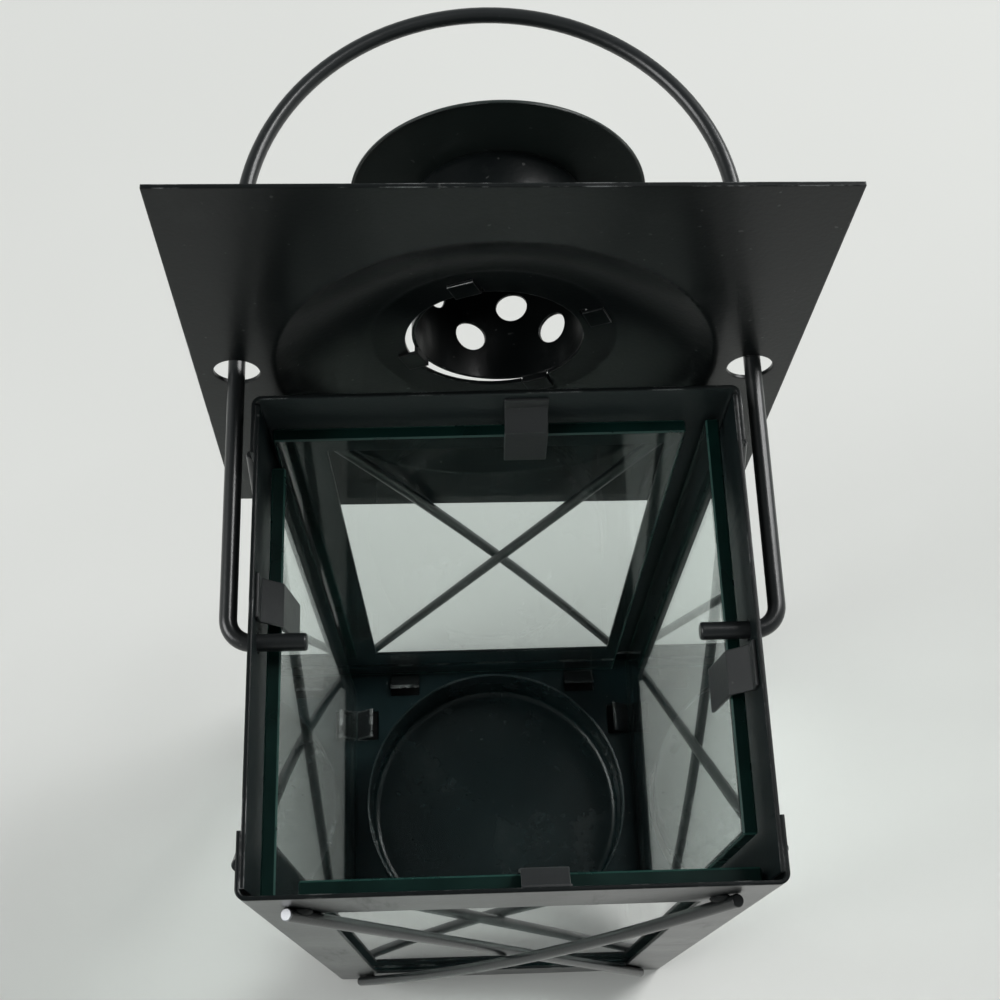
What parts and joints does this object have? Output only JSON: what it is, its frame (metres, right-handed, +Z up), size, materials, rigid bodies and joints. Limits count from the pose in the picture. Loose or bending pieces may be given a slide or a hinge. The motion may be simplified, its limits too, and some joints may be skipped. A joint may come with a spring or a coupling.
{
  "type": "candle lantern",
  "caption": "Square sheet-metal candle lantern with glazed sides, crossed wire guards, a candle cup, a swinging wire handle and a vented lid that slides along it.",
  "frame": {"origin": "middle of the underside, on the ground", "axes": "+Z up, -Y out of the front, +X to the right seen from the front; the lid and handle are swung back to +Y"},
  "size_m": [0.0902, 0.1439, 0.1816],
  "materials": {
    "sheet_paint": "satin black paint on sheet steel",
    "wire_paint": "semi-gloss black paint on steel wire",
    "pane": "clear float glass with green edges"
  },
  "bodies": {
    "lantern": {"front_wall": "sheet_paint", "back_wall": "sheet_paint", "left_wall": "sheet_paint", "right_wall": "sheet_paint", "base_tray": "sheet_paint", "candle_cup": "sheet_paint", "front_glass": "pane", "back_glass": "pane", "left_glass": "pane", "right_glass": "pane", "front_clip": "sheet_paint", "back_clip": "sheet_paint", "left_clip": "sheet_paint", "right_clip": "sheet_paint", "front_rod_under": "wire_paint", "front_rod_over": "wire_paint", "back_rod_under": "wire_paint", "back_rod_over": "wire_paint", "left_rod_under": "wire_paint", "left_rod_over": "wire_paint", "right_rod_under": "wire_paint", "right_rod_over": "wire_paint"},
    "handle": {"handle": "wire_paint"},
    "lid": {"roof_plate": "sheet_paint", "chimney": "sheet_paint", "cap_disc": "sheet_paint", "cap_rivet": "sheet_paint"}
  },
  "joints": [
    {"name": "handle_swing", "type": "hinge", "parent": "lantern", "child": "handle", "pos_m": [0, 0, 0.1365], "axis": [1, 0, 0], "range_deg": [0, 177]},
    {"name": "lid_slide", "type": "slide", "parent": "handle", "child": "lid", "axis": [0, 0.9997, 0.0262], "range_m": [0, 0.018]}
  ]
}
